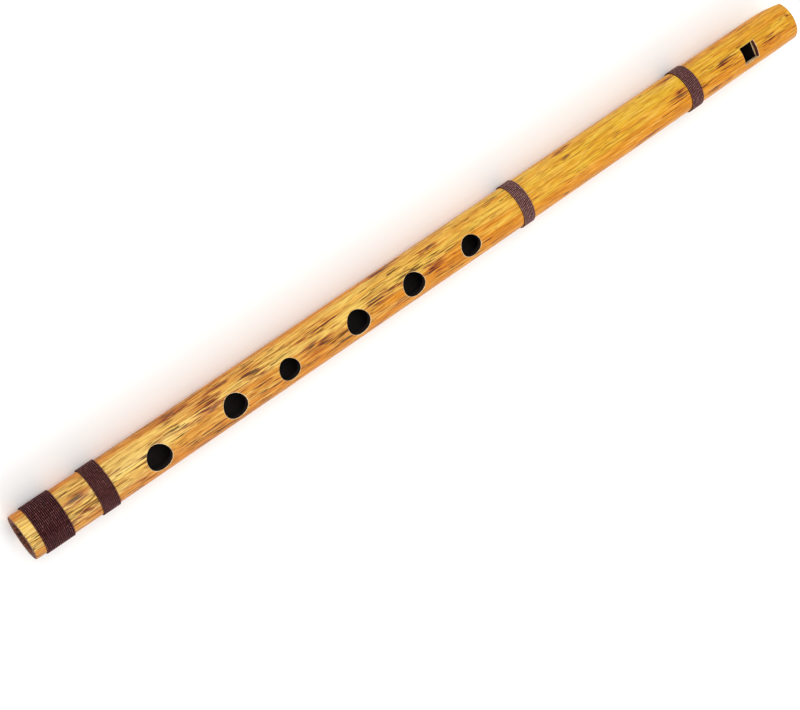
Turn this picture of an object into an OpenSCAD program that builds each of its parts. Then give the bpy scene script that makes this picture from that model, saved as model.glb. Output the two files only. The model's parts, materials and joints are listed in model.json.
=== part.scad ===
// End-blown bamboo flute with a fipple mouthpiece and four thread bindings.
// +X runs along the bore from the foot to the blowing end, +Z goes up through
// the finger holes, and the origin is the middle of the bore's open foot end.

/* [Culm] */
// Length from the foot to the blowing end
flute_len = 356; // [345:1:400]
// Outside diameter at the foot
foot_od = 17.7; // [16.8:0.1:19]
// Outside diameter at the blowing end
head_od = 16.1; // [15.6:0.1:16.7]
// Diameter of the bore
bore_d = 12.2; // [11.6:0.1:12.4]
// Size of the chamfer round the outer edge of each end
end_chamfer = 0.4; // [0.2:0.1:0.7]

/* [Finger holes] */
// Distance of the first finger hole from the foot
hole_1_at = 53.6; // [50:0.1:60]
// Diameter of the first finger hole
hole_1_d = 9.8; // [7:0.1:10]
// Distance of the second finger hole from the foot
hole_2_at = 86.2; // [80:0.1:90]
// Diameter of the second finger hole
hole_2_d = 9.5; // [7:0.1:10]
// Distance of the third finger hole from the foot
hole_3_at = 109.9; // [106:0.1:114]
// Diameter of the third finger hole
hole_3_d = 8.4; // [7:0.1:10]
// Distance of the fourth finger hole from the foot
hole_4_at = 140.8; // [134:0.1:145]
// Diameter of the fourth finger hole
hole_4_d = 9.5; // [7:0.1:10]
// Distance of the fifth finger hole from the foot
hole_5_at = 166.2; // [162:0.1:172]
// Diameter of the fifth finger hole
hole_5_d = 9.2; // [7:0.1:10]
// Distance of the sixth finger hole from the foot
hole_6_at = 192.8; // [188:0.1:200]
// Diameter of the sixth finger hole
hole_6_d = 8.4; // [7:0.1:10]

/* [Mouthpiece] */
// Length of the plugged end, from the window to the blowing end
head_len = 20.4; // [18:0.1:24]
// Length of the window along the flute, at the outside
window_len = 7; // [5:0.1:8]
// Width of the window across the flute
window_w = 7.2; // [6:0.1:8]
// Turn of the window and windway off the line of the finger holes, towards +Y
window_turn = 3.5; // [0:0.5:6]
// How far the edge that splits the air leans in under the window
labium_lean = 1.2; // [0.2:0.1:1.6]
// Height of the windway at its middle
windway_h = 1.4; // [1:0.1:2]
// Depth to which the block's seat is reamed into the wall of the bore
seat_step = 0.3; // [0.2:0.05:0.4]
// Height above the bore's axis at which the beak's cut meets the blowing end
beak_tip = 1.7; // [0.5:0.1:2.5]
// Slope of the beak's cut
beak_angle = 22; // [19:0.5:24]

/* [Bindings] */
// Distance of the foot binding from the foot
foot_bind_at = 4; // [3:0.1:6]
// Width of the foot binding
foot_bind_w = 12.3; // [8:0.1:14]
// Turns of thread in the foot binding
foot_bind_turns = 17; // [10:1:20]
// Distance of the lower binding from the foot
lower_bind_at = 27.4; // [24:0.1:32]
// Width of the lower binding
lower_bind_w = 7.8; // [5:0.1:9]
// Turns of thread in the lower binding
lower_bind_turns = 11; // [7:1:13]
// Distance of the middle binding from the foot
middle_bind_at = 216.3; // [212:0.1:230]
// Width of the middle binding
middle_bind_w = 5.9; // [4:0.1:8]
// Turns of thread in the middle binding
middle_bind_turns = 8; // [5:1:11]
// Distance of the head binding from the blowing end
head_bind_back = 55.7; // [50:0.1:65]
// Width of the head binding
head_bind_w = 6.4; // [4:0.1:8]
// Turns of thread in the head binding
head_bind_turns = 9; // [5:1:11]
// How far the thread stands proud of the culm
thread_proud = 0.54; // [0.3:0.02:0.7]

/* [Hidden] */
$fn = 96;

bamboo_colour = "#d9982f";
block_colour = "#b98a4e";
thread_colour = "#3d2124";

bore_r = bore_d / 2;
seat_r = bore_r + seat_step;
window_end = flute_len - head_len;
window_start = window_end - window_len;
block_top = seat_r - windway_h;
window_floor = bore_r / 2;

// Length past a face by which a cutter runs clear of it
clear = 1;
// Height at which the cutters for the holes and the window end, clear of the culm
cut_top = foot_od;
// Thickness of the thread down in the groove between two turns
groove_floor = thread_proud / 4;
// Flat steps round the rib that each turn of thread makes
rib_steps = 6;

// Distance from the foot, then diameter, of each finger hole
finger_holes = [
    [hole_1_at, hole_1_d],
    [hole_2_at, hole_2_d],
    [hole_3_at, hole_3_d],
    [hole_4_at, hole_4_d],
    [hole_5_at, hole_5_d],
    [hole_6_at, hole_6_d]
];

// Outside radius of the culm, which tapers evenly from the foot
function culm_r(at) = (foot_od + (head_od - foot_od) * at / flute_len) / 2;

// Point on the ribbed outside of a binding, at a part (0 to 1) of one turn
function rib_point(at, pitch, part) = [
    culm_r(at + pitch * part) + groove_floor
        + (thread_proud - groove_floor) * sin(180 * part),
    at + pitch * part
];

// Lays a shape that was made up the Z axis along the flute
module along_flute() {
    rotate([0, 90, 0]) children();
}

// The culm's outside, a long cone with both end edges broken
module culm_outside() {
    along_flute()
    rotate_extrude()
    polygon([
        [0, 0],
        [culm_r(0) - end_chamfer, 0],
        [culm_r(end_chamfer), end_chamfer],
        [culm_r(flute_len - end_chamfer), flute_len - end_chamfer],
        [culm_r(flute_len) - end_chamfer, flute_len],
        [0, flute_len]
    ]);
}

// Everything below the slanting plane that shapes the beak
module below_beak() {
    cut_back = 3 * foot_od;
    cut_drop = 2 * foot_od;
    translate([flute_len, 0, beak_tip])
    rotate([0, -beak_angle, 0])
    translate([-cut_back, -foot_od, -cut_drop])
    cube([cut_back + foot_od, 2 * foot_od, cut_drop]);
}

// The window's cutter, upright at the block and leaning at the edge
module window_cut() {
    rotate([-window_turn, 0, 0])
    rotate([90, 0, 0])
    linear_extrude(height = window_w, center = true)
    polygon([
        [window_start + labium_lean, window_floor],
        [window_end, window_floor],
        [window_end, cut_top],
        [window_start - labium_lean, cut_top],
        [window_start, culm_r(window_start)]
    ]);
}

// One sleeve of closely wound thread, with a rib for each turn
module binding(at, width, turns) {
    pitch = width / turns;
    ribs = [
        for (turn = [0 : turns - 1], step = [0 : rib_steps - 1])
            rib_point(at + turn * pitch, pitch, step / rib_steps)
    ];
    inside = [
        [culm_r(at + width) + groove_floor, at + width],
        [culm_r(at + width), at + width],
        [culm_r(at), at]
    ];
    color(thread_colour)
    along_flute()
    rotate_extrude()
    polygon(concat(ribs, inside));
}

module bamboo_tube() {
    color(bamboo_colour)
    difference() {
        culm_outside();
        along_flute()
            translate([0, 0, -clear])
            cylinder(r = bore_r, h = flute_len + 2 * clear);
        along_flute()
            translate([0, 0, window_end])
            cylinder(r = seat_r, h = head_len + clear);
        for (hole = finger_holes)
            translate([hole[0], 0, 0])
            cylinder(d = hole[1], h = cut_top);
        window_cut();
        below_beak();
    }
}

module fipple_block() {
    color(block_colour)
    difference() {
        along_flute()
            translate([0, 0, window_end])
            cylinder(r = seat_r, h = head_len);
        rotate([-window_turn, 0, 0])
            translate([window_end - clear, -foot_od, block_top])
            cube([head_len + 2 * clear, 2 * foot_od, foot_od]);
        below_beak();
    }
}

module foot_binding() {
    binding(foot_bind_at, foot_bind_w, foot_bind_turns);
}

module lower_binding() {
    binding(lower_bind_at, lower_bind_w, lower_bind_turns);
}

module middle_binding() {
    binding(middle_bind_at, middle_bind_w, middle_bind_turns);
}

module head_binding() {
    binding(flute_len - head_bind_back, head_bind_w, head_bind_turns);
}

bamboo_tube();
fipple_block();
foot_binding();
lower_binding();
middle_binding();
head_binding();
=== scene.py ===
import json
import math
import random

import bpy
from mathutils import Matrix, Vector


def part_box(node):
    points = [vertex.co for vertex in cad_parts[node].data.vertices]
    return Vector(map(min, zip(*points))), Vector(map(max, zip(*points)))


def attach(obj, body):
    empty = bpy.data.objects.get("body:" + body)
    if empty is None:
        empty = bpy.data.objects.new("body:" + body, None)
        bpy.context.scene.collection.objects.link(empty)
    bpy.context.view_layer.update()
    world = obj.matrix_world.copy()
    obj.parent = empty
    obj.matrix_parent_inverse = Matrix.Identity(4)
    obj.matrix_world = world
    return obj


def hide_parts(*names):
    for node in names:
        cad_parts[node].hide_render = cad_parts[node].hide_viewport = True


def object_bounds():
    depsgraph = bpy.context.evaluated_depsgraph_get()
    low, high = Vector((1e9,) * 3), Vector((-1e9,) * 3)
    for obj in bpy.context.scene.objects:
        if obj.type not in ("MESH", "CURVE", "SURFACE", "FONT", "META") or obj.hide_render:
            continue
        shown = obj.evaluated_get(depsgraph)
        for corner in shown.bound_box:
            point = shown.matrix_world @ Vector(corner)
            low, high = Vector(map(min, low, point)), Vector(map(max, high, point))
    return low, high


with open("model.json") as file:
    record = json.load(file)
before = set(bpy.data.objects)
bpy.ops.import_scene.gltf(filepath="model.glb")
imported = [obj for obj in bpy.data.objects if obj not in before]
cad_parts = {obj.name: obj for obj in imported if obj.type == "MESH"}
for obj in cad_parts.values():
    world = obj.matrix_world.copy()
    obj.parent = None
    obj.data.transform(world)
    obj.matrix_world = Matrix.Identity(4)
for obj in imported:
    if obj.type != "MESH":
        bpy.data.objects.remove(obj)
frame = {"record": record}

CAD_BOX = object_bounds()
MM = 0.001

# ---------------------------------------------------------------- sizes
# Everything is in the CAD frame: +X from the foot to the blowing end, +Z up
# through the finger holes, the origin in the middle of the open foot end.
# Angles round the culm are in degrees from +Z towards +Y.

TUBE_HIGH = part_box("bamboo_tube")[1]
BLOCK_LOW, BLOCK_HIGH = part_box("fipple_block")
MOUNTS = {mount["name"]: mount for mount in frame["record"]["mounts"]}
OPENINGS = frame["record"]["physics"]["openings"]

LENGTH = TUBE_HIGH.x
FOOT_R = TUBE_HIGH.y
HEAD_R = 8.05 * MM
BORE_R = MOUNTS["foot_bore"]["dims"]["r_mm"] * MM
END_CHAMFER = 0.4 * MM

# The block fills a seat reamed for it, from the window to the blowing end
SEAT_R = BLOCK_HIGH.y
BLOCK_FACE = BLOCK_LOW.x
BLOCK_TOP = 5.0 * MM

# A finger hole's opening box is this share of the hole's own radius
BOX_SHARE = 0.66
# How far the edge of a hole is rounded over
RIM = 0.28 * MM
WINDOW_LENGTH = 7.0 * MM
WINDOW_WIDTH = 7.2 * MM
WINDOW_TURN = math.radians(3.5)
WINDOW_FLOOR = BORE_R / 2
# How far the window's sharp edge leans in
LABIUM_LEAN = 1.2 * MM
BEAK_TIP = 1.7 * MM
BEAK_ANGLE = math.radians(22)

# The cane's natural bow at its middle
BOW = Vector((0, -0.39, 0.11)) * MM

# How far the thread stands proud of the skin
THREAD_PROUD = 0.54 * MM
# Length of thread in which the three plies make one full twist
THREAD_LAY = 2.2 * MM
# Turns of thread in each binding, and how far its wax has faded, from 0 to 1
BINDINGS = {
    "foot_binding": (17, 0.0),
    "lower_binding": (11, 0.05),
    "middle_binding": (8, 0.55),
    "head_binding": (9, 0.3),
}

# The angle round the culm of the side painted paler as painted light, at the foot and at the head
PAINTED_LIGHT_DEGREES = (23, 60)
# Stains in the bamboo: distance from the foot, angle round the culm, half length,
# half width, strength. The lengths are in millimetres.
STAINS = [
    (22, 31, 6, 2.4, 0.95),
    (22, -10, 7, 2.2, 0.75),
    (45, -22, 3, 0.7, 0.8),
    (68, 76, 8, 1.8, 0.95),
    (78, 40, 7, 2.8, 0.8),
    (86, 69, 9, 1.2, 0.95),
    (97, 42, 6, 3.6, 0.8),
    (97, 4, 6, 1.4, 0.7),
    (125, 12, 10, 2.6, 0.75),
    (126, 48, 11, 1.8, 0.8),
    (153, 18, 9, 2.4, 0.95),
    (159, 94, 9, 2.0, 0.95),
    (160, -22, 6, 1.6, 0.7),
    (177, 8, 8, 2.0, 0.75),
    (179, 56, 4.5, 1.1, 1.0),
    (194, -15, 9, 1.0, 0.7),
    (243, 83, 7, 1.3, 0.95),
    (244, 51, 2.4, 0.8, 1.0),
    (276, -42, 9, 1.3, 0.85),
    (296, 82, 6, 1.6, 0.8),
    (297, 13, 5.5, 2.4, 1.0),
    (315, -32, 8, 1.2, 0.85),
    (321, 16, 6, 2.8, 0.85),
    (342, 3, 6, 2.0, 0.85),
    (353.6, 32, 1.0, 1.6, 0.66),
]


def culm_r(x):
    """The culm's outside radius at a distance from the foot."""
    return FOOT_R + (HEAD_R - FOOT_R) * x / LENGTH


def finger_holes():
    """(distance from the foot, radius) of each finger hole, from the stated openings."""
    found = []
    for opening in OPENINGS:
        if opening["name"].endswith("finger_hole"):
            low, high = opening["box_m"]
            found.append(((low[0] + high[0]) / 2, (high[0] - low[0]) / 2 / BOX_SHARE))
    return found


# ---------------------------------------------------------------- help with materials


def linear(code):
    """An sRGB hex colour as linear red, green, blue and alpha."""
    parts = [int(code[i:i + 2], 16) / 255 for i in (1, 3, 5)]
    return [p / 12.92 if p <= 0.04045 else ((p + 0.055) / 1.055) ** 2.4 for p in parts] + [1.0]


def add(tree, kind, inputs=None, out=None, **settings):
    """Adds a node, sets it up, fills its inputs, and gives back one of its outputs.

    A Mix node's inputs go by number: 0 is how much of the second one shows, 2 and 3
    are its two values, and 6 and 7 are its two colours.
    """
    node = tree.nodes.new(kind)
    for name, value in settings.items():
        setattr(node, name, value)
    for name, value in (inputs or {}).items():
        if isinstance(value, bpy.types.NodeSocket):
            tree.links.new(value, node.inputs[name])
        else:
            node.inputs[name].default_value = value
    if out:
        return node.outputs[out]
    return next(socket for socket in node.outputs if socket.enabled)


def new_material(name, **values):
    """A material with its shader's plain values set; gives its tree and coordinates too."""
    material = bpy.data.materials.new(name)
    material.use_nodes = True
    tree = material.node_tree
    shader = tree.nodes["Principled BSDF"]
    for key, value in values.items():
        shader.inputs[key.replace("_", " ")].default_value = value
    return material, tree, shader, add(tree, "ShaderNodeTexCoord", out="Object")


def grain(tree, coords, length, width, seed, detail=2.0, distortion=0.0):
    """Noise drawn out along the culm, its marks about this long and wide."""
    drawn = add(tree, "ShaderNodeMapping", {
        "Vector": coords,
        "Location": (seed, seed * 2, seed * 3),
        "Scale": (1 / length, 1 / width, 1 / width),
    })
    return add(tree, "ShaderNodeTexNoise", {
        "Vector": drawn,
        "Scale": 1.0,
        "Detail": detail,
        "Distortion": distortion,
    })


def laid_over(tree, colour, tint, pattern, start, full, most=1.0):
    """A colour with a tint over it: none where the pattern is at start, most at full."""
    cover = add(tree, "ShaderNodeMapRange", {
        "Value": pattern,
        "From Min": start,
        "From Max": full,
        "To Max": most,
    })
    return add(tree, "ShaderNodeMix", {0: cover, 6: colour, 7: tint}, data_type="RGBA")


# ---------------------------------------------------------------- bamboo


def bamboo_ground_and_painted_light(tree, coords, along, headward):
    """Straw yellow painted on the side facing the key light as painted light, and honey orange
    away from it, in soft bands.
    """
    honey = add(tree, "ShaderNodeMix", {
        0: headward,
        6: linear("#D27E1A"),
        7: linear("#DB8F22"),
    }, data_type="RGBA")
    straw_painted_light = add(tree, "ShaderNodeMix", {
        0: headward,
        6: linear("#ECC96E"),
        7: linear("#DEAF30"),
    }, data_type="RGBA")

    # How squarely each place faces the side that is painted as lit
    painted_light_sides = []
    for degrees in PAINTED_LIGHT_DEGREES:
        turn = math.radians(degrees)
        painted_light_sides.append(add(tree, "ShaderNodeVectorMath", {
            0: coords,
            1: (0, math.sin(turn) / HEAD_R, math.cos(turn) / HEAD_R),
        }, out="Value", operation="DOT_PRODUCT"))
    # The painted light rises more steeply at the foot, which makes it narrower there
    painted_light_sides[0] = add(tree, "ShaderNodeMath", {
        0: painted_light_sides[0],
        1: 1.6,
        2: -0.62,
    }, operation="MULTIPLY_ADD")
    share = add(tree, "ShaderNodeMix", {0: headward, 2: painted_light_sides[0], 3: painted_light_sides[1]})
    # The painted light sinks again near the blowing end
    sink = add(tree, "ShaderNodeMapRange", {
        "Value": along,
        "From Min": 0.78 * LENGTH,
        "From Max": 0.95 * LENGTH,
        "To Max": -0.35,
    })
    share = add(tree, "ShaderNodeMath", {0: share, 1: sink}, operation="ADD")

    broad = grain(tree, coords, 90 * MM, 7 * MM, seed=3.1)
    share = add(tree, "ShaderNodeMath", {0: share, 1: 0.5, 2: broad}, operation="MULTIPLY_ADD")
    band = grain(tree, coords, 34 * MM, 1.9 * MM, seed=7.7)
    share = add(tree, "ShaderNodeMath", {0: band, 1: 0.6, 2: share}, operation="MULTIPLY_ADD")
    return laid_over(tree, honey, straw_painted_light, share, 0.95, 1.32)


def dull_patches(tree, coords, headward, colour):
    """Weathered patches, most of them in the foot half."""
    dull = grain(tree, coords, 45 * MM, 4 * MM, seed=5.3)
    dull = add(tree, "ShaderNodeMath", {0: headward, 1: -0.12, 2: dull}, operation="MULTIPLY_ADD")
    return laid_over(tree, colour, linear("#BE8C48"), dull, 0.50, 0.66, most=0.4)


def fibres(tree, coords, headward, fibre, colour):
    """Long fibres, darker and paler, fine hairs between them, and drifts of dark flecks.

    Real ones are some 0.15 mm wide, too fine to show, so these are drawn 0.4 mm wide
    and more.
    """
    colour = laid_over(tree, colour, linear("#AE661A"), fibre, 0.50, 0.60, most=0.5)
    colour = laid_over(tree, colour, linear("#F2D273"), fibre, 0.44, 0.36, most=0.28)
    hair = grain(tree, coords, 5 * MM, 0.4 * MM, seed=8.3, detail=1)
    colour = laid_over(tree, colour, linear("#96581A"), hair, 0.53, 0.66, most=0.42)

    drift = grain(tree, coords, 40 * MM, 5 * MM, seed=2.2)
    drift = add(tree, "ShaderNodeMath", {
        0: headward,
        1: -0.14,
        2: drift,
    }, operation="MULTIPLY_ADD")
    fleck = grain(tree, coords, 7 * MM, 0.42 * MM, seed=9.4, detail=1, distortion=0.2)
    fleck = add(tree, "ShaderNodeMath", {0: drift, 1: 0.6, 2: fleck}, operation="MULTIPLY_ADD")
    return laid_over(tree, colour, linear("#523212"), fleck, 0.895, 0.945, most=0.85)


def stained_places(tree, coords):
    """How strongly each place is stained, in patches with ragged edges."""
    raggedness = Vector((5, 1.6, 1.6)) * MM
    ragged = add(tree, "ShaderNodeTexNoise", {
        "Vector": coords,
        "Scale": 1 / (3.5 * MM),
        "Detail": 2.0,
    }, out="Color")
    ragged = add(tree, "ShaderNodeVectorMath", {
        0: ragged,
        1: raggedness,
        2: coords,
    }, operation="MULTIPLY_ADD")
    # The noise has its middle at one half, and each patch moves along with it
    shift = raggedness / 2
    places = 0.0
    for at, degrees, half_length, half_width, strength in STAINS:
        turn = math.radians(degrees)
        r = culm_r(at * MM)
        middle = Vector((at * MM, r * math.sin(turn), r * math.cos(turn))) + shift
        scale = (1 / (half_length * MM), 1 / (half_width * MM), 1 / (half_width * MM))
        near = add(tree, "ShaderNodeMapping", {
            "Vector": ragged,
            "Location": [-m * s for m, s in zip(middle, scale)],
            "Scale": scale,
        })
        near = add(tree, "ShaderNodeVectorMath", {0: near}, out="Value", operation="LENGTH")
        near = add(tree, "ShaderNodeMapRange", {
            "Value": near,
            "From Min": 1.4,
            "From Max": 0.5,
            "To Max": strength,
        })
        places = add(tree, "ShaderNodeMath", {0: places, 1: near}, operation="MAXIMUM")
    return places


def stains(tree, coords, colour):
    """Bundles of fibres stained red-brown or olive, each bundle with a reddish border."""
    places = stained_places(tree, coords)
    marks = grain(tree, coords, 8 * MM, 0.5 * MM, seed=4.6, detail=1.5, distortion=0.4)
    marks = add(tree, "ShaderNodeMath", {0: places, 1: 0.27, 2: marks}, operation="MULTIPLY_ADD")
    colour = laid_over(tree, colour, linear("#A64E20"), marks, 0.60, 0.75, most=0.75)
    kind = grain(tree, coords, 14 * MM, 2.4 * MM, seed=6.1)
    stain = laid_over(tree, linear("#5A2018"), linear("#584A2E"), kind, 0.42, 0.58)
    return laid_over(tree, colour, stain, marks, 0.745, 0.80, most=0.92)


def lacquered_bamboo():
    """Bamboo skin under clear lacquer: golden, streaked along the fibres, stained, glossy."""
    material, tree, shader, coords = new_material(
        "lacquered_bamboo",
        Roughness=0.5,
        Specular_IOR_Level=0.05,
        Coat_Weight=0.3,
        Coat_IOR=1.36,
        Coat_Roughness=0.16,
    )
    along = add(tree, "ShaderNodeSeparateXYZ", {0: coords}, out="X")
    # From 0 near the foot up to 1 towards the head
    headward = add(tree, "ShaderNodeMapRange", {
        "Value": along,
        "From Min": 0.2 * LENGTH,
        "From Max": 0.7 * LENGTH,
    })
    fibre = grain(tree, coords, 13 * MM, 0.7 * MM, seed=1.9, detail=1.5)
    colour = bamboo_ground_and_painted_light(tree, coords, along, headward)
    colour = dull_patches(tree, coords, headward, colour)
    colour = fibres(tree, coords, headward, fibre, colour)
    colour = stains(tree, coords, colour)
    tree.links.new(colour, shader.inputs["Base Color"])
    relief = add(tree, "ShaderNodeBump", {
        "Height": fibre,
        "Distance": 0.02 * MM,
        "Strength": 0.6,
    })
    tree.links.new(relief, shader.inputs["Normal"])
    return material


def cane(name, pale, dark, length, width, roughness, seed):
    """Cane or wood without its skin: a pale ground with darker grain this long and wide."""
    material, tree, shader, coords = new_material(name, Roughness=roughness)
    speck = grain(tree, coords, length, width, seed, detail=4)
    colour = laid_over(tree, linear(pale), linear(dark), speck, 0.40, 0.62)
    tree.links.new(colour, shader.inputs["Base Color"])
    return material


# ---------------------------------------------------------------- thread


def waxed_thread():
    """Maroon waxed cord: painted shade in its grooves, and a painted highlight, partly wear,
    where it stands highest.

    The wear follows the cord's fuzz, which is too fine to show, so the fuzz is drawn
    0.8 mm across.
    """
    material, tree, shader, coords = new_material(
        "waxed_thread",
        Roughness=0.45,
        Specular_IOR_Level=0.12,
        Coat_Weight=0.12,
        Coat_Roughness=0.2,
    )
    height = add(tree, "ShaderNodeAttribute", out="Fac", attribute_name="height")
    fuzz = add(tree, "ShaderNodeTexNoise", {
        "Vector": coords,
        "Scale": 1 / (0.8 * MM),
        "Detail": 3.0,
    })
    # Height above the skin, stirred a little by the fuzz, sets the painted shade and the painted
    # highlight
    shade_highlight_and_wear = add(tree, "ShaderNodeMath", {0: fuzz, 1: 0.15, 2: height}, operation="MULTIPLY_ADD")
    shade_highlight_and_wear = add(tree, "ShaderNodeMapRange", {"Value": shade_highlight_and_wear, "From Min": 0.92, "From Max": 1.07})
    ramp = add(tree, "ShaderNodeValToRGB", {"Fac": shade_highlight_and_wear})
    stops = ramp.node.color_ramp.elements
    # Near black painted shade in the grooves, maroon between, and a pale pink painted highlight,
    # partly wear, at the crest
    stops[0].position, stops[0].color = 0.0, linear("#0E0205")
    stops[1].position, stops[1].color = 1.0, linear("#FFC0B4")
    stops.new(0.5).color = linear("#7C2226")
    # Where the wax has faded the thread is pale with dust all over, grooves too, still with
    # painted shade low down and a painted highlight on top
    dusty_and_lit = add(tree, "ShaderNodeMix", {
        0: shade_highlight_and_wear,
        6: linear("#602C2E"),
        7: linear("#FFDCD0"),
    }, data_type="RGBA")
    faded = add(tree, "ShaderNodeAttribute", out="Fac", attribute_name="faded")
    colour = add(tree, "ShaderNodeMix", {0: faded, 6: ramp, 7: dusty_and_lit}, data_type="RGBA")
    tree.links.new(colour, shader.inputs["Base Color"])
    return material


# ---------------------------------------------------------------- the materials

SKIN = lacquered_bamboo()
THREAD = waxed_thread()
# The bore, painted near black as the shade inside it, and matt
BORE_WALL = cane("bore_wall", "#1A0E0A", "#0A0504", 12 * MM, 1 * MM, roughness=0.8, seed=9)
# The finger holes' walls: near black with a touch of red, also used as painted shade on the
# plug's end
NEAR_BLACK_WALL = cane("near_black_wall", "#22100F", "#0C0606", 1 * MM, 1 * MM, roughness=0.7, seed=15)
# The window's end walls: a dull red-brown, painted dark as the shade in the windway
DARK_RED_CUT = cane(
    "dark_red_window_wall", "#6E2E2A", "#3A1412", 2 * MM, 1 * MM, roughness=0.6, seed=19,
)
# Cane cut and left bare: a pale, dry line along each cut edge
BARE_CUT = cane(
    "bare_cut_cane", "#F0D6A8", "#D2A060", 1.5 * MM, 0.5 * MM, roughness=0.6, seed=13,
)
# The rough sawn foot, soaked dark by the lacquer: red-brown, with the fibres' ends darker
SAWN_END = cane(
    "sawn_cane_end", "#84452C", "#1E0907", 0.9 * MM, 0.7 * MM, roughness=0.75, seed=13,
)
# The beak's cut through the cane, lacquered over: straight golden fibres, a low gloss
BEAK_CUT = cane(
    "lacquered_beak_cut", "#E0B060", "#B87A34", 20 * MM, 0.5 * MM, roughness=0.4, seed=18,
)
# The plug's wood inside the mouthpiece, darkened by breath: plain brown, fine grained
BLOCK_WOOD = cane("block_wood", "#9A7040", "#74502B", 14 * MM, 0.8 * MM, roughness=0.6, seed=10)
# The plug's wood where it is sanded flush with the cane: paler, in broad soft bands
SANDED_WOOD = cane(
    "sanded_plug_wood", "#DDB070", "#B98548", 40 * MM, 2.2 * MM, roughness=0.5, seed=16,
)

# ---------------------------------------------------------------- help with meshes

# Lays a shape that is made up the Z axis along the culm
ALONG_CULM = (0, math.pi / 2, 0)


def only(piece):
    """Selects one piece alone and makes it active."""
    bpy.ops.object.select_all(action="DESELECT")
    piece.select_set(True)
    bpy.context.view_layer.objects.active = piece


def settle(piece, name):
    """Names a piece and leaves its object at the origin, unturned and unscaled."""
    only(piece)
    bpy.ops.object.transform_apply(location=True, rotation=True, scale=True)
    piece.name = name
    piece.data.name = name
    return piece


def apply_all(piece):
    """Makes the piece's modifiers part of its mesh."""
    only(piece)
    for modifier in list(piece.modifiers):
        bpy.ops.object.modifier_apply(modifier=modifier.name)


def split_along(piece, axis, cuts):
    """Divides every edge that runs along one axis, which leaves rings between."""
    bpy.ops.object.mode_set(mode="EDIT")
    bpy.ops.mesh.select_mode(type="EDGE")
    bpy.ops.mesh.select_all(action="DESELECT")
    bpy.ops.object.mode_set(mode="OBJECT")
    for edge in piece.data.edges:
        a, b = (piece.data.vertices[i].co for i in edge.vertices)
        edge.select = abs((a - b).normalized()[axis]) > 0.9
    bpy.ops.object.mode_set(mode="EDIT")
    bpy.ops.mesh.subdivide(number_cuts=cuts)
    bpy.ops.object.mode_set(mode="OBJECT")


def box_cutter(size, middle):
    """A box of this size about a point, not settled yet, so that it can be turned."""
    bpy.ops.mesh.primitive_cube_add(size=1)
    cutter = bpy.context.object
    cutter.data.transform(Matrix.Diagonal((*size, 1)))
    cutter.data.transform(Matrix.Translation(middle))
    return cutter


def tube_cutter(radius, start, end, material):
    """A plain cylinder along the culm, from one distance to another."""
    bpy.ops.mesh.primitive_cylinder_add(
        vertices=96,
        radius=radius,
        depth=end - start,
        location=((start + end) / 2, 0, 0),
        rotation=ALONG_CULM,
    )
    cutter = settle(bpy.context.object, "tube_cutter")
    cutter.data.materials.append(material)
    return cutter


def cut(piece, cutter):
    """Takes the cutter's shape out of the piece, and leaves its material on the cut."""
    boolean = piece.modifiers.new("cut", "BOOLEAN")
    boolean.operation = "DIFFERENCE"
    boolean.solver = "EXACT"
    boolean.object = cutter
    boolean.material_mode = "TRANSFER"
    apply_all(piece)
    bpy.data.objects.remove(cutter)


# ---------------------------------------------------------------- the culm

SEGMENTS = 144
# The skin is halved along its length, and each half is divided again
RINGS_PER_HALF = 89
RINGS = 2 * RINGS_PER_HALF
# (distance from the end, drop below the skin) of the rings that break each end's edge
END_RINGS = [(0, END_CHAMFER), (0.3 * END_CHAMFER, 0.3 * END_CHAMFER), (END_CHAMFER, 0)]


def ring_place(ring):
    """(distance from the foot, drop below the skin) of one ring of the culm's skin."""
    if ring < len(END_RINGS):
        return END_RINGS[ring]
    if RINGS - ring < len(END_RINGS):
        back, drop = END_RINGS[RINGS - ring]
        return LENGTH - back, drop
    return LENGTH * ring / RINGS, 0


def make_culm():
    """The cane with its uneven skin, bored, drilled and cut as its maker does it."""
    bpy.ops.mesh.primitive_cylinder_add(
        vertices=SEGMENTS,
        radius=1,
        depth=LENGTH,
        location=(LENGTH / 2, 0, 0),
        rotation=ALONG_CULM,
    )
    culm = settle(bpy.context.object, "culm")
    culm.data.materials.append(SKIN)
    culm.data.materials.append(BEAK_CUT)
    # The blowing end's face is finished like the beak
    for face in culm.data.polygons:
        face.material_index = 1 if face.normal.x > 0.9 else 0
    split_along(culm, 0, 1)
    split_along(culm, 0, RINGS_PER_HALF - 1)
    for vertex in culm.data.vertices:
        x, drop = ring_place(round(vertex.co.x / LENGTH * RINGS))
        r = culm_r(x) - drop
        vertex.co = (x, vertex.co.y * r, vertex.co.z * r)

    uneven = culm.modifiers.new("uneven_skin", "DISPLACE")
    uneven.texture = bpy.data.textures.new("uneven_skin", "CLOUDS")
    uneven.texture.noise_scale = 14 * MM
    uneven.strength = 0.12 * MM
    # More of the skin sinks than swells, so that it keeps within the culm's real size
    uneven.mid_level = 0.75
    apply_all(culm)

    cut(culm, bore_cutter())
    cut(culm, foot_saw())
    cut(culm, tube_cutter(SEAT_R, BLOCK_FACE, LENGTH + 1 * MM, BARE_CUT))
    for at, radius in finger_holes():
        cut(culm, hole_cutter(at, radius))
    cut(culm, window_cutter())
    cut(culm, beak_cutter(BEAK_CUT))
    return culm


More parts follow.
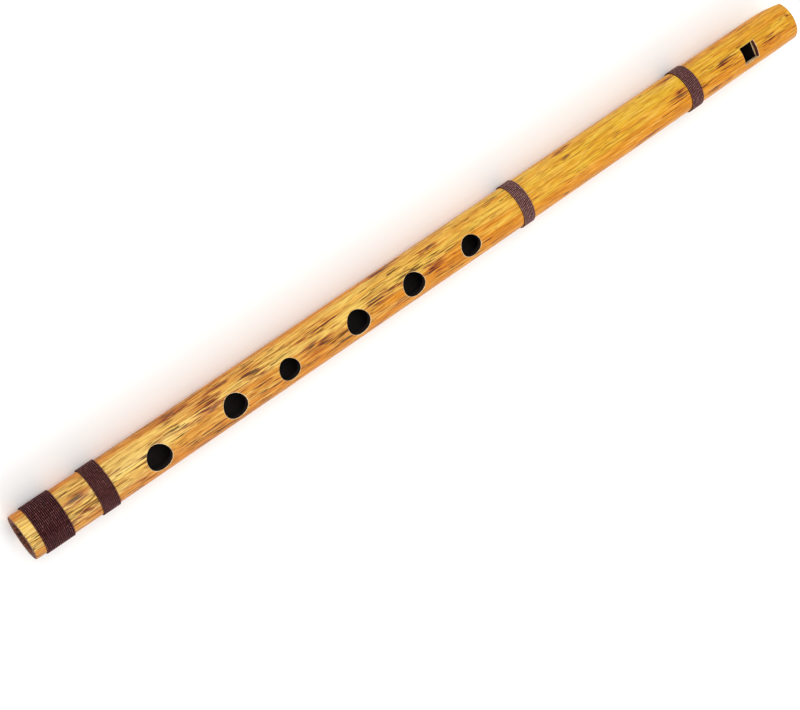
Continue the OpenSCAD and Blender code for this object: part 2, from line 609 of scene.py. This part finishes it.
def bore_cutter():
    """The bore, opened by hand at the foot so that its edge there is uneven."""
    # (distance from the foot, how much wider than the bore) of each ring, in millimetres
    rings = [(-0.5, 0.75), (0.15, 0.25), (0.7, 0.0), (6, 0.0)]
    start = rings[0][0] * MM
    cutter = tube_cutter(BORE_R, start, BLOCK_FACE, BORE_WALL)
    cutter.data.materials.append(SAWN_END)
    split_along(cutter, 0, len(rings) - 1)
    step = (BLOCK_FACE - start) / len(rings)
    chance = random.Random(11)
    for vertex in cutter.data.vertices:
        ring = round((vertex.co.x - start) / step)
        if ring < len(rings):
            x, wider = rings[ring]
            turn = math.atan2(vertex.co.y, vertex.co.z)
            # The knife's small slips, on an opening that has three lobes
            waver = chance.uniform(0.6, 1.4) + 0.4 * math.sin(3 * turn + 1)
            r = BORE_R + wider * waver * MM
            vertex.co = (x * MM, r * math.sin(turn), r * math.cos(turn))
    # Its first 6 mm take the sawn end's colour, and the rest the near black painted shade
    for face in cutter.data.polygons:
        face.material_index = 1 if face.center.x < rings[-1][0] * MM else 0
    return cutter


def foot_saw():
    """Takes a rough shaving off the foot."""
    cells = 64
    across = 2.4 * FOOT_R
    thinnest, thickest = 0.02, 0.16
    bpy.ops.mesh.primitive_grid_add(
        x_subdivisions=cells, y_subdivisions=cells, size=across, rotation=ALONG_CULM,
    )
    saw = settle(bpy.context.object, "foot_saw")
    chance = random.Random(5)
    for vertex in saw.data.vertices:
        vertex.co.x = chance.uniform(thinnest, thickest) * MM
    bpy.ops.object.mode_set(mode="EDIT")
    bpy.ops.mesh.select_all(action="SELECT")
    bpy.ops.mesh.extrude_region_move(TRANSFORM_OT_translate={"value": (-1 * MM, 0, 0)})
    bpy.ops.mesh.select_all(action="SELECT")
    bpy.ops.mesh.normals_make_consistent(inside=False)
    bpy.ops.object.mode_set(mode="OBJECT")
    saw.data.materials.append(SAWN_END)
    return saw


def rimmed_cutter(outline, wall):
    """A cutter down through the skin that rounds the edge it leaves.

    The outline is a list of (x, y, outward x, outward y). The rings go from the
    floor up the wall, round the rim along the curved skin, and clear into the air.
    """
    clear_top = 1.5 * FOOT_R
    # (how far outside the outline, how deep in the skin) of each ring. The lowest
    # and the highest are flat instead of following the skin.
    rings = [(0, None)]
    for degrees in (0, 30, 60, 90):
        turn = math.radians(degrees)
        rings.append((RIM * (1 - math.cos(turn)), RIM * (1 - math.sin(turn))))
    rings.append((RIM, None))
    count = len(outline)
    last = len(rings) - 1
    bpy.ops.mesh.primitive_cylinder_add(vertices=count, radius=1, depth=1)
    cutter = bpy.context.object
    split_along(cutter, 2, last - 1)
    mesh = cutter.data
    mesh.materials.append(wall)
    mesh.materials.append(BARE_CUT)
    # The lowest band of faces is the wall, and the bands above it are the rim
    for face in mesh.polygons:
        face.material_index = 1 if 1 < (face.center.z + 0.5) * last < last else 0
    for vertex in mesh.vertices:
        place = round(math.atan2(vertex.co.y, vertex.co.x) / (2 * math.pi) * count) % count
        x, y, out_x, out_y = outline[place]
        spread, depth = rings[round((vertex.co.z + 0.5) * last)]
        x += out_x * spread
        y += out_y * spread
        if depth is not None:
            vertex.co = (x, y, math.sqrt(culm_r(x) ** 2 - y ** 2) - depth)
        elif spread:
            vertex.co = (x, y, clear_top)
        else:
            vertex.co = (x, y, WINDOW_FLOOR)
    return cutter


def hole_cutter(at, radius):
    """One finger hole, round and upright."""
    count = 72
    outline = []
    for i in range(count):
        turn = 2 * math.pi * i / count
        out_x, out_y = math.cos(turn), math.sin(turn)
        outline.append((at + radius * out_x, radius * out_y, out_x, out_y))
    return settle(rimmed_cutter(outline, NEAR_BLACK_WALL), "hole_cutter")


def window_cutter():
    """The window, upright at the plug and leaning at the sharp edge."""
    start, end, half = BLOCK_FACE - WINDOW_LENGTH, BLOCK_FACE, WINDOW_WIDTH / 2
    corners = [(end, -half), (end, half), (start, half), (start, -half)]
    outs = [(1, 0), (0, 1), (-1, 0), (0, -1)]
    steps = 12
    outline = []
    for side in range(4):
        a, b = Vector(corners[side]), Vector(corners[(side + 1) % 4])
        for i in range(steps):
            spot = a.lerp(b, i / steps)
            out = Vector(outs[side])
            if i == 0:
                out += Vector(outs[side - 1])
            outline.append((spot.x, spot.y, out.x, out.y))
    cutter = rimmed_cutter(outline, DARK_RED_CUT)
    # The far end of the cutter's floor is drawn in, which leaves the sharp edge leaning
    for vertex in cutter.data.vertices:
        if vertex.co.z < 1.01 * WINDOW_FLOOR:
            vertex.co.x += LABIUM_LEAN * (end - vertex.co.x) / WINDOW_LENGTH
    # The window's two sides show bare cane, and the ends between them a dull red-brown painted
    # shade
    for face in cutter.data.polygons:
        if abs(face.normal.y) > 0.9:
            face.material_index = 1
    cutter.rotation_euler.x = -WINDOW_TURN
    return settle(cutter, "window_cutter")


def beak_cutter(material):
    """Everything below the slanting plane under the mouthpiece."""
    length, width, depth = 60 * MM, 4 * FOOT_R, 3 * FOOT_R
    past_end = 10 * MM
    cutter = box_cutter((length, width, depth), (past_end - length / 2, 0, -depth / 2))
    cutter.rotation_euler.y = -BEAK_ANGLE
    cutter.location = (LENGTH, 0, BEAK_TIP)
    settle(cutter, "beak_cutter").data.materials.append(material)
    return cutter


# ---------------------------------------------------------------- the plug


def make_plug():
    """The block in the blowing end, flat on top under the windway, cut off with the beak."""
    plug = tube_cutter(SEAT_R, BLOCK_FACE, LENGTH, BLOCK_WOOD)
    plug.data.materials.append(NEAR_BLACK_WALL)
    # The end that faces the window is painted near black as shade, as dark as the bore round it
    for face in plug.data.polygons:
        face.material_index = 1 if face.normal.x < -0.9 else 0

    length, width, height = 60 * MM, 40 * MM, 20 * MM
    windway = box_cutter((length, width, height), (LENGTH, 0, BLOCK_TOP + height / 2))
    windway.rotation_euler.x = -WINDOW_TURN
    settle(windway, "windway").data.materials.append(BLOCK_WOOD)
    cut(plug, windway)

    # The edge that the air meets first, pared off at 45 degrees
    pare = 0.3 * MM
    side, width = 6 * MM, 30 * MM
    knife = box_cutter((side, width, side), (0, 0, side / 2))
    knife.data.transform(Matrix.Rotation(-math.pi / 4, 4, "Y"))
    knife.data.transform(Matrix.Translation((BLOCK_FACE + pare / 2, 0, BLOCK_TOP - pare / 2)))
    knife.rotation_euler.x = -WINDOW_TURN
    settle(knife, "knife").data.materials.append(BARE_CUT)
    cut(plug, knife)
    cut(plug, beak_cutter(SANDED_WOOD))
    return settle(plug, "plug")


# ---------------------------------------------------------------- the bindings


def helix(low, high, turns, thread_r):
    """The line that the middle of the thread follows round the culm, as a curve."""
    steps = 48
    # Each end dives under its neighbour over this share of a turn
    tuck = 0.10
    data = bpy.data.curves.new("helix", "CURVE")
    data.dimensions = "3D"
    data.use_stretch = True
    data.use_deform_bounds = True
    spline = data.splines.new("POLY")
    count = turns * steps
    spline.points.add(count)
    for i in range(count + 1):
        turned = i / steps
        x = low + thread_r + (high - low - 2 * thread_r) * i / count
        dive = max(0, 1 - min(turned, turns - turned) / tuck)
        r = culm_r(x) + THREAD_PROUD - thread_r - dive * 2 * thread_r
        angle = -math.pi + 2 * math.pi * turned
        spline.points[i].co = (x, r * math.sin(angle), r * math.cos(angle), 1)
    curve = bpy.data.objects.new("helix", data)
    bpy.context.scene.collection.objects.link(curve)
    return curve


def straight_thread(thread_r, step):
    """A very short piece of round thread, with a groove between its three plies."""
    sides = 9
    # The thread's radius at a groove, as a share of its full radius
    groove = 0.92
    bpy.ops.mesh.primitive_circle_add(vertices=sides, radius=thread_r, rotation=ALONG_CULM)
    thread = settle(bpy.context.object, "thread")
    for vertex in thread.data.vertices:
        if vertex.index % 3 == 0:
            vertex.co *= groove
    bpy.ops.object.mode_set(mode="EDIT")
    bpy.ops.mesh.select_all(action="SELECT")
    bpy.ops.mesh.extrude_region_move(TRANSFORM_OT_translate={"value": (step, 0, 0)})
    bpy.ops.object.mode_set(mode="OBJECT")
    return thread


def wind(node, turns, faded):
    """One close winding of three-ply thread over the culm."""
    low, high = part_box(node)
    # A little thicker than the spacing of the turns, as they press together
    thread_r = 1.06 * (high.x - low.x) / (turns + 1) / 2
    path = helix(low.x, high.x, turns, thread_r)
    length = path.data.splines[0].calc_length()
    # Steps in which the thread makes one full twist
    lay_steps = 11
    step = THREAD_LAY / lay_steps
    thread = straight_thread(thread_r, step)

    lengths = thread.modifiers.new("lengths", "ARRAY")
    lengths.count = round(length / step)
    lengths.use_relative_offset = False
    lengths.use_constant_offset = True
    lengths.constant_offset_displace = (step, 0, 0)
    lengths.use_merge_vertices = True
    lengths.merge_threshold = step / 20
    twist = thread.modifiers.new("twist", "SIMPLE_DEFORM")
    twist.deform_method = "TWIST"
    twist.deform_axis = "X"
    twist.angle = 2 * math.pi * length / THREAD_LAY
    wound = thread.modifiers.new("wound", "CURVE")
    wound.object = path
    wound.deform_axis = "POS_X"
    apply_all(thread)
    bpy.data.objects.remove(path)

    # The two ends are closed
    bpy.ops.object.mode_set(mode="EDIT")
    bpy.ops.mesh.select_all(action="SELECT")
    bpy.ops.mesh.fill_holes(sides=0)
    bpy.ops.mesh.select_all(action="SELECT")
    bpy.ops.mesh.normals_make_consistent(inside=False)
    bpy.ops.object.mode_set(mode="OBJECT")
    bpy.ops.object.shade_smooth()
    mark_height_and_fading(thread.data, faded)
    thread.data.materials.append(THREAD)
    return settle(thread, node.replace("binding", "thread"))


def mark_height_and_fading(mesh, faded):
    """Gives each point its height above the skin, 1 at the crest, which sets the thread's painted
    shade and highlight, and how faded it is.
    """
    heights = mesh.attributes.new("height", "FLOAT", "POINT")
    for vertex in mesh.vertices:
        x, y, z = vertex.co
        heights.data[vertex.index].value = (math.hypot(y, z) - culm_r(x)) / THREAD_PROUD
    fading = mesh.attributes.new("faded", "FLOAT", "POINT")
    for point in fading.data:
        point.value = faded


# ---------------------------------------------------------------- assembly

# A sharper edge than this stays crisp on the culm and the plug
CRISP_EDGE = math.radians(25)


def finish_piece(piece, node):
    """Gives a finished piece the cane's natural bow and ties it to its CAD part."""
    for vertex in piece.data.vertices:
        part = vertex.co.x / LENGTH
        # Nothing at the ends and the full bow half way
        vertex.co += BOW * 4 * part * (1 - part)
    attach(piece, "root")
    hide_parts(node)


culm = make_culm()
plug = make_plug()
for piece in (culm, plug):
    only(piece)
    bpy.ops.object.shade_smooth_by_angle(angle=CRISP_EDGE)
finish_piece(culm, "bamboo_tube")
finish_piece(plug, "fipple_block")
for node, (turns, faded) in BINDINGS.items():
    finish_piece(wind(node, turns, faded), node)

# ---------------------------------------------------------------- stage

MIDDLE = Vector((LENGTH / 2, 0, 0))


def white_paper():
    """Matt white paper, very slightly cloudy, which gives a plain bright ground."""
    material, tree, shader, coords = new_material("white_paper", Roughness=0.9)
    cloudy = add(tree, "ShaderNodeTexNoise", {"Vector": coords, "Scale": 6.0})
    tone = add(tree, "ShaderNodeMix", {
        0: cloudy,
        6: linear("#FBFBFA"),
        7: linear("#F8F8F7"),
    }, data_type="RGBA")
    tree.links.new(tone, shader.inputs["Base Color"])
    return material


def softbox(name, place, size, power):
    """A square soft light that faces the middle of the flute."""
    lamp = bpy.data.lights.new(name, "AREA")
    lamp.shape = "SQUARE"
    lamp.size = size
    lamp.energy = power
    made = bpy.data.objects.new(name, lamp)
    bpy.context.scene.collection.objects.link(made)
    made.location = place
    made.rotation_euler = (MIDDLE - Vector(place)).to_track_quat("-Z", "Y").to_euler()


# The flute rests on the floor
bpy.ops.mesh.primitive_plane_add(size=8, location=(LENGTH / 2, 0, CAD_BOX[0][2]))
floor = bpy.context.object
floor.name = "floor"
floor.data.materials.append(white_paper())

world = bpy.data.worlds.new("studio")
bpy.context.scene.world = world
world.use_nodes = True
sky = world.node_tree.nodes["Background"]
sky.inputs["Color"].default_value = (1, 1, 1, 1)
sky.inputs["Strength"].default_value = 0.76

softbox("key", place=(0.05, 0.95, 1.60), size=1.1, power=15)
softbox("fill", place=(0.20, -1.40, 1.00), size=1.2, power=9)

# The camera stands beyond the foot, over the +Y side, and is rolled so that the
# flute climbs to the right across the view
CAMERA_AT = Vector((-0.09775, 0.33840, 0.68599))
RIGHT = Vector((0.78214, -0.38546, 0.48958)).normalized()
AWAY = Vector((0.30691, -0.44548, -0.84104)).normalized()

view = bpy.data.cameras.new("view")
view.lens = 100
view.sensor_width = 36
camera = bpy.data.objects.new("view", view)
bpy.context.scene.collection.objects.link(camera)
turn = Matrix((RIGHT, RIGHT.cross(AWAY), -AWAY)).transposed()
camera.matrix_world = Matrix.Translation(CAMERA_AT) @ turn.to_4x4()
bpy.context.scene.camera = camera
bpy.context.scene.view_settings.view_transform = "Standard"
